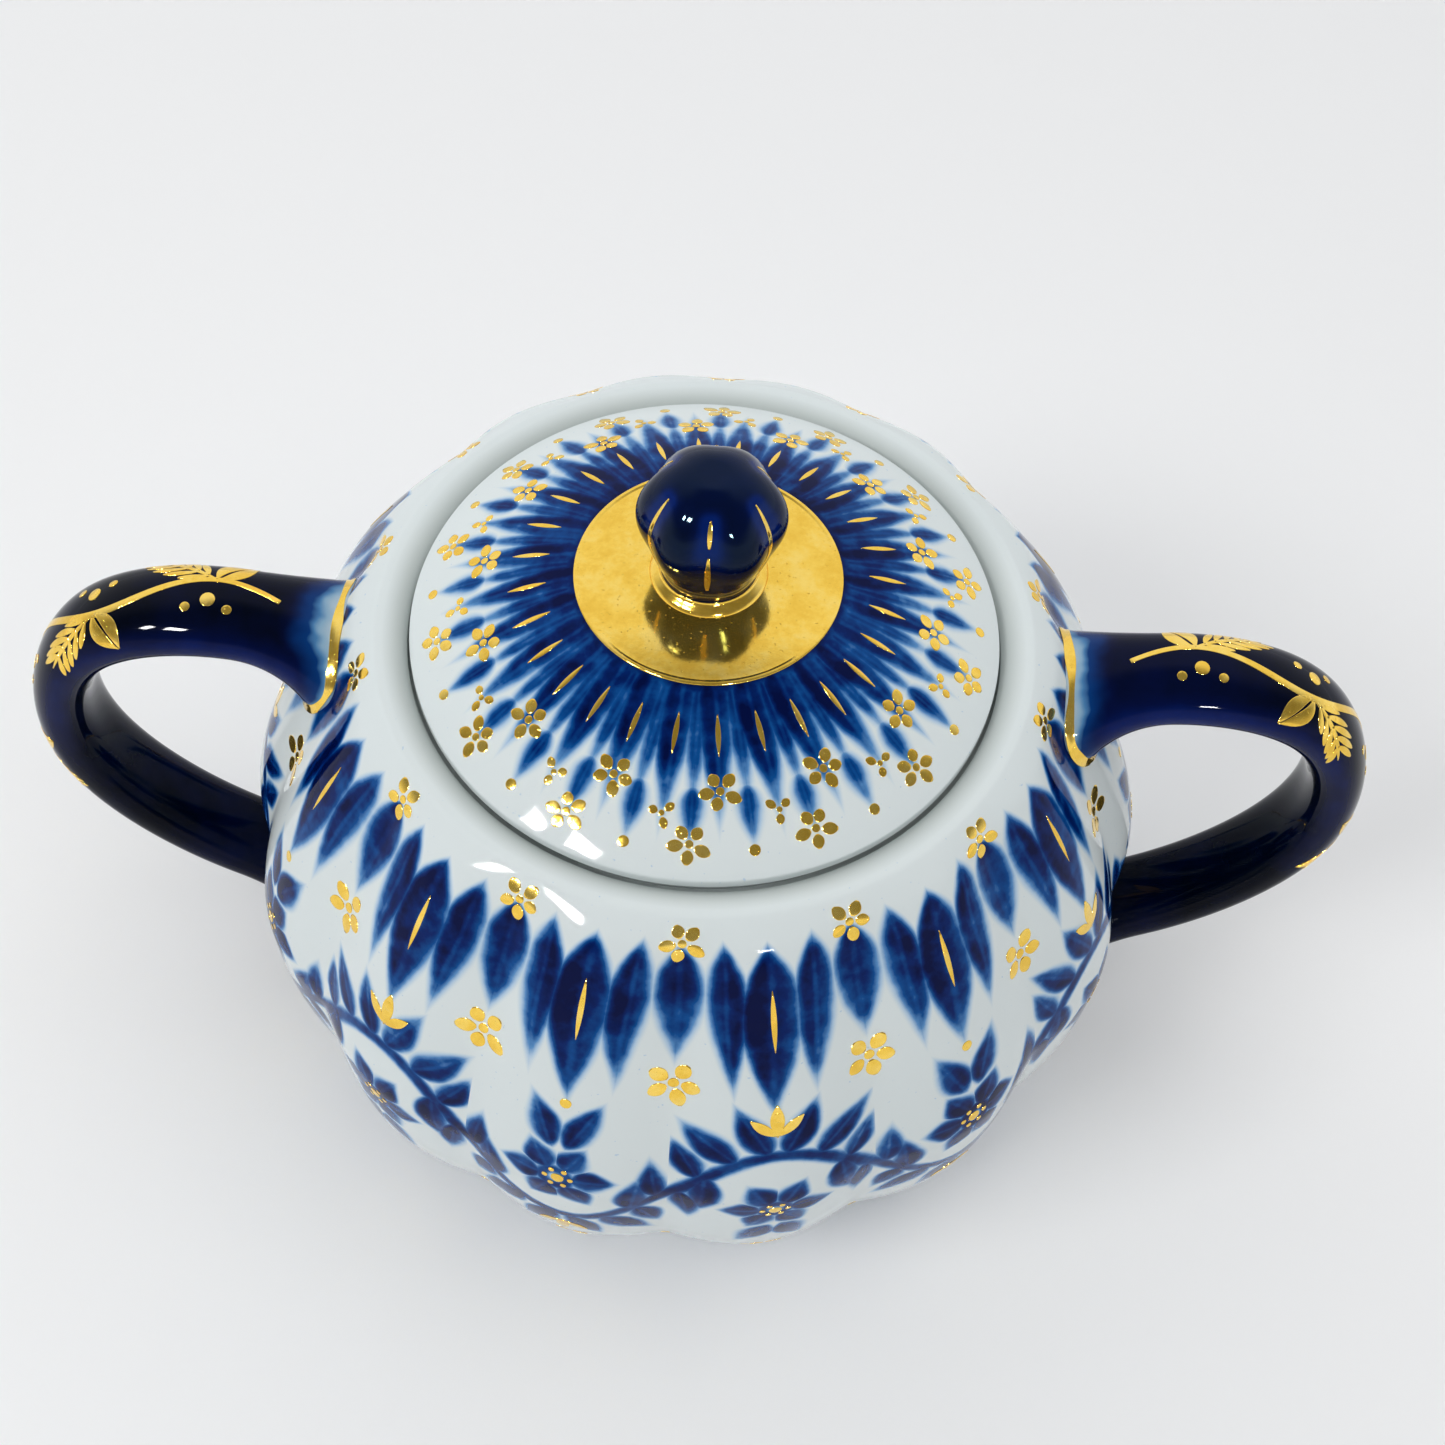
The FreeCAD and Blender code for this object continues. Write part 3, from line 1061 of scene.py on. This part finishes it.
def mouth_profile(inside_start):
    """From the rim down the lip, the gallery and the ledge to the inside."""
    under = LEDGE_HEIGHT - LEDGE_THICKNESS
    lean = np.linspace(0, math.asin(LIP_WIDTH / LIP_CURVE), 9)
    lip = np.stack([RIM_RADIUS - LIP_CURVE * np.sin(lean), BOWL_HEIGHT - LIP_CURVE * (1 - np.cos(lean))], 1)
    gallery = rounded([
        tuple(lip[-2]),
        (*lip[-1], 0.15 * MM),
        (GALLERY_RADIUS, LEDGE_HEIGHT, SOFT_EDGE),
        (LEDGE_RADIUS, LEDGE_HEIGHT, SOFT_EDGE),
        (LEDGE_RADIUS, under, SOFT_EDGE),
        (inside_start[0] - 0.6 * MM, under, SOFT_EDGE),
        tuple(inside_start),
    ])
    return resampled(np.vstack([lip[1:-2], gallery]), 2 * MM)[:-1]


def make_bowl(material):
    fine_band = 6 * MM
    unpainted = 20 * MM
    foot, wall_start = foot_profile()
    half = len(TURNS) // 2
    start_drop = np.interp(wall_start, OUT_RADIUS[half:][::-1], OUT_DROP[half:][::-1])
    drops = np.concatenate([np.linspace(start_drop, fine_band, 106)[:-1], np.linspace(fine_band, 0, 25)])
    radius, height, wall_depth = looked_up(drops, OUT_DROP, OUT_LINE)
    wall = np.stack([radius, height], 1)
    inside, inside_depth = inside_profile()
    mouth = mouth_profile(inside[0])
    floor = resampled(np.array([inside[-1], (0, inside[-1, 1])]), 4 * MM)[1:]
    profile = np.vstack([foot, wall, mouth, inside, floor])
    depth = np.zeros(len(profile))
    along = np.full(len(profile), -unpainted)
    outside = slice(len(foot), len(foot) + len(wall))
    depth[outside] = wall_depth
    depth[outside.stop + len(mouth):-len(floor)] = inside_depth
    along[outside] = drops
    along[outside.stop:outside.stop + len(mouth)] = -arc_lengths(*np.vstack([wall[-1:], mouth]).T)[1:]
    along[:len(foot)] = FULL_DROP + unpainted
    body = turned(profile, lobe_columns(LOBES, LOBE_COLUMNS), depth, along, LOBES, GROOVE_SOFTNESS)
    add_piece("bowl_porcelain", [body], "bowl", material, ["bowl_body"])


def make_lid(material):
    skirt_inner = SKIRT_RADIUS - SKIRT_WALL
    inner = DOME_RADIUS - LID_WALL
    seat = np.array([(0, KNOB_FOOT), (COLLAR_RADIUS, KNOB_FOOT), (DISC_RADIUS, DISC_HEIGHT)])
    top_radii = np.linspace(DISC_RADIUS, LID_RADIUS - 0.8 * MM, 32)
    top = np.vstack([resampled(seat, 2 * MM)[:-1], np.stack([top_radii, dome(top_radii)], 1)])
    under_radii = np.linspace(skirt_inner - 0.8 * MM, DISC_RADIUS, 16)
    under = np.stack([under_radii, dome(under_radii, inner)], 1)
    edge = resampled(rounded([
        tuple(top[-1]),
        (LID_RADIUS, LID_EDGE_HEIGHT, LID_EDGE_ROUNDING),
        (LID_RADIUS, LID_EDGE_HEIGHT - FLANGE_THICKNESS, LID_EDGE_ROUNDING / 2),
        (LID_RADIUS - FLANGE_OVERHANG, LEDGE_HEIGHT, SOFT_EDGE),
        (SKIRT_RADIUS, LEDGE_HEIGHT, SOFT_EDGE),
        (SKIRT_RADIUS, SKIRT_END, SKIRT_WALL * 0.4),
        (skirt_inner, SKIRT_END, SKIRT_WALL * 0.4),
        (skirt_inner, dome(skirt_inner, inner), SOFT_EDGE),
        tuple(under[0]),
    ]), 2 * MM)[1:-1]
    middle = resampled(np.array([under[-1], (0, under[-1, 1])]), 3 * MM)[1:]
    profile = np.vstack([top, edge, under, middle])
    beyond = np.arange(1, len(profile) - len(top) + 1) * MM
    along = np.concatenate([top[:, 0], LID_RADIUS + beyond])
    body = turned(profile, even_columns(LID_COLUMNS), along=along)
    add_piece("lid_porcelain", [body], "lid", material, ["lid"])


def make_knob(cobalt, gold):
    drops = np.linspace(0, KNOB_DROP[-1], KNOB_ROWS)
    height, radius, depth = looked_up(drops, KNOB_DROP, KNOB_LINE)
    profile = np.vstack([np.stack([radius, height], 1), (0, KNOB_FOOT)])
    along = np.append(drops, drops[-1])
    columns = lobe_columns(FLUTES, LOBE_COLUMNS)
    bud = turned(profile, columns, np.append(depth, 0), along, FLUTES, FLUTE_SOFTNESS)
    add_piece("knob_porcelain", [bud], "lid", cobalt, ["knob", "knob_luting"])

    lines = []
    line_start = 5.9 * MM
    line_length = 11.4 * MM
    whole = ((0.0, 1.0),)
    rubbed = ((0.0, 0.30), (0.40, 1.0))
    for i in range(FLUTES):
        angle = TAU * (i + 0.5) / FLUTES
        for start, end in rubbed if i % 3 == 1 else whole:
            t = np.linspace(start, end, 24)
            ends = np.sin(math.pi * np.clip((t - start) / (end - start), 0.03, 0.97)) ** 0.4
            width = GOLD_LINE * ends * (0.75 + 0.45 * t)
            lines.append(gold_line(KNOB_SKIN, angle + 0 * t, line_start + t * line_length, width))
    add_piece("knob_gilt_lines", lines, "lid", gold)

    top = np.interp(KNOB_FOOT + COLLAR_HEIGHT, KNOB_LINE[::-1, 0], KNOB_DROP[::-1])
    height, radius, _ = looked_up(np.linspace(top, KNOB_DROP[-1], 24), KNOB_DROP, KNOB_LINE)
    shell = np.stack([radius + FILM, height], 1)
    buried = (shell[0, 0] - 4 * FILM, shell[0, 1])
    shell = np.vstack([(0, buried[1]), buried, shell, (0, shell[-1, 1])])
    add_piece("knob_gilt_collar", [turned(shell, even_columns(COLLAR_COLUMNS))], "lid", gold)


def make_disc(gold):
    bead = 0.14 * MM
    edge = DISC_RADIUS + 0.1 * MM
    under = -0.3 * MM

    def above(radius, lift):
        share = max(radius - COLLAR_RADIUS, 0) / (DISC_RADIUS - COLLAR_RADIUS)
        fall = share * (0.35 + 0.65 * share)
        return (radius, KNOB_FOOT - (KNOB_FOOT - DISC_HEIGHT) * fall + lift)

    radii = np.linspace(COLLAR_RADIUS, DISC_RADIUS - 8 * bead, 12)
    middle = [above(0, FILM)] + [above(radius, FILM) for radius in radii]
    rim = rounded([
        middle[-1],
        (*above(DISC_RADIUS - 4 * bead, FILM), 2 * bead),
        (*above(DISC_RADIUS - 2 * bead, FILM + bead), bead),
        (*above(edge, FILM + bead), bead),
        (*above(edge, under), FILM),
        above(0, under),
    ])
    profile = resampled(np.vstack([middle[:-1], rim]), 1 * MM)
    add_piece("lid_gilt_disc", [turned(profile, even_columns(DISC_COLUMNS))], "lid", gold)


def handle_skin():
    """The right handle, with its ends a little way inside the bowl's wall."""
    sunk = 0.25 * MM
    stub = np.array([0.6 * MM, 0, 0])
    columns = even_columns(HANDLE_COLUMNS)
    turns = (columns - 0.5) * TAU
    upper, lower = root_limits(turns)
    t = np.linspace(0, 1, HANDLE_ROWS)
    along = upper + (lower - upper) * (0.25 * t + 0.75 * smooth(t))[:, None]
    rings = handle_point(along, turns)
    buried = []
    for row in (0, -1):
        angle = np.arctan2(rings[row, :, 1], rings[row, :, 0])
        radius = bowl_radius(angle, rings[row, :, 2]) - sunk
        rings[row] = spun(radius, angle, rings[row, :, 2])
        buried.append(rings[row].mean(0) - stub)
    distance = root_distance(along, turns)
    distance = np.hstack([distance, distance[:, :1]])
    uv = np.stack(np.broadcast_arrays(distance, np.append(columns, 1.0)), -1)
    return skin(rings, uv, *buried)


def root_lines():
    """An uneven line of gold round each root, its ends overlapping."""
    turns = np.linspace(-math.pi, math.pi + 0.05, 110)
    upper, lower = root_limits(turns)
    width = ROOT_LINE * (1 + 0.22 * np.sin(3 * turns) + 0.14 * np.sin(7 * turns + 1))
    gap = 0.4 * MM
    return [gold_line(HANDLE_SKIN, along, turns, width) for along in (upper + gap, lower - gap)]


def vine(hand):
    """A waving stem with leaves and berries along the outer side of the right handle."""
    start = root_limits(0.0)[0] + 6 * MM
    length = 66 * MM
    bends = 5
    sway = 0.34
    t = np.linspace(0, 1, 150)
    width = 1.6 * GOLD_LINE * (0.45 + 0.55 * np.sin(math.pi * np.clip(t, 0.02, 0.98)) ** 0.4)
    made = [gold_line(HANDLE_SKIN, start + length * t, hand * sway * np.sin(bends * math.pi * t), width)]
    for i in range(bends):
        side = hand if i % 2 == 0 else -hand
        at = (start + length * (i + 0.5) / bends, sway * side)
        leans = [math.radians(lean if side > 0 else 180 - lean) for lean in (62, -34)]
        made += feathered_leaf(HANDLE_SKIN, at, leans[0], 10.2 * MM, 2.8 * MM)
        made += solid_leaf(HANDLE_SKIN, at, leans[1], 6.6 * MM, 1.9 * MM)
        for x, y, radius in ((0.6, 3.0, 0.9), (3.1, 4.1, 0.6), (-1.8, 4.1, 0.6)):
            made.append(dot(HANDLE_SKIN, at, radius * MM, x * MM, -side * y * MM))
    return made


def on_side(hand, skins):
    return [(np.array(points) * (hand, hand, 1), *rest) for points, *rest in skins]


def make_handles(cobalt, gold):
    """Both handles with their gold; the left one is turned half round and its vine mirrored."""
    for side, hand in (("right", 1), ("left", -1)):
        nodes = [f"{side}_handle", f"{side}_handle_luting"]
        body = on_side(hand, [handle_skin()])
        add_piece(f"{side}_handle_porcelain", body, "bowl", cobalt, nodes)
        add_piece(f"{side}_handle_gilt_vine", on_side(hand, vine(hand)), "bowl", gold)
        add_piece(f"{side}_handle_gilt_roots", on_side(hand, root_lines()), "bowl", gold)


# Florets and dots of gold on the bowl: shares of a lobe, drops from the rim and sizes
BOWL_FLORETS = ((0.5, 3.8, 2.5), (0.5, 22.8, 3.3), (0.0, 66.0, 3.1))
BOWL_DOTS = ((0.0, 26.4, 0.7), (0.5, 62.2, 0.6))


def make_bowl_gold(gold):
    made = []
    stamens = 6
    stamen_ring = 1.55 * MM
    for lobe in range(LOBES):
        for share, drop, size in BOWL_FLORETS:
            made += floret(BOWL_SKIN, (TAU * (lobe + share) / LOBES, drop * MM), size * MM)
        for share, drop, radius in BOWL_DOTS:
            made.append(dot(BOWL_SKIN, (TAU * (lobe + share) / LOBES, drop * MM), radius * MM))
        crest = TAU * lobe / LOBES
        flip = 1 if lobe % 2 else -1
        made.append(petal(BOWL_SKIN, (crest, 9.0 * MM), 0.0, 0.0, 8.0 * MM, 0.34 * MM))
        heart = (crest, (GARLAND_DROP + flip * BLOSSOM_OFFSET) * MM)
        made.append(dot(BOWL_SKIN, heart, 0.8 * MM))
        for i in range(stamens):
            turn = TAU * (i + 0.5) / stamens
            x, y = stamen_ring * math.sin(turn), stamen_ring * math.cos(turn)
            made.append(dot(BOWL_SKIN, heart, 0.36 * MM, x, y))
        bend = (crest, (GARLAND_DROP - flip * (GARLAND_SWAY + 3.5)) * MM)
        away = math.pi if flip > 0 else 0.0
        made.append(petal(BOWL_SKIN, bend, 0.0, away, 5.0 * MM, 0.85 * MM))
        for lean in (-48, 48):
            made.append(petal(BOWL_SKIN, bend, 0.3 * MM, away + math.radians(lean), 3.9 * MM, 0.7 * MM))
    add_piece("bowl_gilt_flowers", made, "bowl", gold)


def make_lid_gold(gold):
    made = []
    for i in range(LID_PETALS):
        middle = TAU * (i + 0.5) / LID_PETALS
        gap = TAU * i / LID_PETALS
        made.append(petal(LID_SKIN, (middle, 18.4 * MM), 0.0, 0.0, 4.6 * MM, 0.30 * MM))
        if i % 2:
            made += floret(LID_SKIN, (middle, 26.2 * MM), 2.4 * MM)
            made += floret(LID_SKIN, (gap, 31.2 * MM), 2.4 * MM)
        else:
            made += floret(LID_SKIN, (middle, 28.6 * MM), 1.7 * MM, 3)
            made.append(dot(LID_SKIN, (gap, 31.9 * MM), 0.65 * MM))
    add_piece("lid_gilt_flowers", made, "lid", gold)


# Stage

FLOOR_HALF = 20.0
FLOOR_COLOUR = (0.95, 0.955, 0.96, 1)
ROOM_COLOUR = (0.985, 0.99, 1.0, 1)
ROOM_LIGHT = 0.2
PALE_LIGHT = 0.78
FAR_FLOOR_LIFT = 0.5
FAR_FLOOR_RANGE = (0.45, 2.6)

# Names, directions, distances, widths, heights and radiances
PANES = (
    ("left_pane", (-0.631, -0.435, 0.643), 1.2, 0.10, 0.12, 255.0),
    ("front_pane", (-0.450, -0.570, 0.687), 1.2, 0.18, 0.12, 255.0),
    ("small_pane", (0.300, -0.854, 0.420), 1.2, 0.13, 0.09, 190.0),
)
SOFT_LIGHTS = (
    ("window_light", (-0.60, -0.42, 0.68), 1.2, 0.5, 0.4, 7.2),
    ("overhead_fill", (0.32, -0.22, 0.92), 2.5, 2.4, 2.4, 1.15),
)


def make_floor():
    """A pale floor, as pale as the room where the lamps don't reach it."""
    mesh = bpy.data.meshes.new("floor")
    corners = [(-1, -1), (1, -1), (1, 1), (-1, 1)]
    mesh.from_pydata([(x * FLOOR_HALF, y * FLOOR_HALF, 0) for x, y in corners], [], [(0, 1, 2, 3)])
    material, tree, shader = new_material("pale_floor")
    x, y, _ = split(place(tree))
    distance = (x * x + y * y).root()
    set_inputs(shader, {
        "Base Color": FLOOR_COLOUR,
        "Roughness": 0.6,
        "Specular IOR Level": 0.1,
        "Emission Color": ROOM_COLOUR,
        "Emission Strength": distance.ease(*FAR_FLOOR_RANGE) * FAR_FLOOR_LIFT,
    })
    material.cycles.emission_sampling = "NONE"
    mesh.materials.append(material)
    floor = linked("floor", mesh)


def make_world():
    """A room that is pale along the horizon and behind the object, and dimmer in front and overhead."""
    world = bpy.data.worlds.new("studio")
    bpy.context.scene.world = world
    world.use_nodes = True
    tree = world.node_tree
    _, back, up = split(add_node(tree, "TexCoord").outputs["Generated"])
    horizon = (1 - up.ease(0.12, 0.45)) * (back.ease(-0.95, -0.1) * 0.75 + 0.25)
    behind = back.ease(-0.1, 0.5) * (1 - up.ease(0.86, 0.99))
    rays = add_node(tree, "LightPath").outputs
    kinds = ("Is Camera Ray", "Is Glossy Ray", "Is Transmission Ray")
    backdrop = layered(*[Field(rays[kind]) for kind in kinds]) * (1 - up.ease(0.08, 0.3))
    strength = layered(horizon, behind, backdrop) * PALE_LIGHT + ROOM_LIGHT
    set_inputs(tree.nodes["Background"], {"Color": ROOM_COLOUR, "Strength": strength})


def area_light(name, direction, distance, width, height, radiance):
    """A soft light that looks at the object from a direction."""
    light = bpy.data.lights.new(name, "AREA")
    light.shape = "RECTANGLE"
    light.size = width
    light.size_y = height
    light.energy = radiance * math.pi * width * height
    lamp = linked(name, light)
    towards = Vector(direction).normalized()
    lamp.location = CAMERA_TARGET + towards * distance
    lamp.rotation_euler = towards.to_track_quat("Z", "Y").to_euler()
    return lamp


def make_lights():
    """Panes of windows that show as highlights, and the soft light of the room."""
    for pane in PANES:
        area_light(*pane).visible_diffuse = False
    for soft in SOFT_LIGHTS:
        area_light(*soft).visible_glossy = False


def make_camera():
    data = bpy.data.cameras.new("camera")
    data.sensor_width = SENSOR_WIDTH
    data.lens = SENSOR_WIDTH * FOCAL_PIXELS / IMAGE_SIZE
    data.clip_start = 0.01
    camera = linked("camera", data)
    yaw = Matrix.Rotation(-CAMERA_YAW, 4, "Z")
    tilt = Matrix.Rotation(math.pi / 2 - CAMERA_PITCH, 4, "X")
    roll = Matrix.Rotation(CAMERA_ROLL, 4, "Z")
    offset = Matrix.Translation((-CAMERA_ASIDE, -CAMERA_RAISE, CAMERA_DISTANCE))
    camera.matrix_world = Matrix.Translation(CAMERA_TARGET) @ yaw @ tilt @ roll @ offset
    bpy.context.scene.camera = camera


gold = gilding()
make_bowl(bowl_glaze())
make_lid(lid_glaze())
make_knob(knob_glaze(), gold)
make_disc(gold)
make_handles(handle_glaze(), gold)
make_bowl_gold(gold)
make_lid_gold(gold)
make_floor()
make_world()
make_lights()
make_camera()
bpy.context.scene.view_settings.view_transform = "Standard"
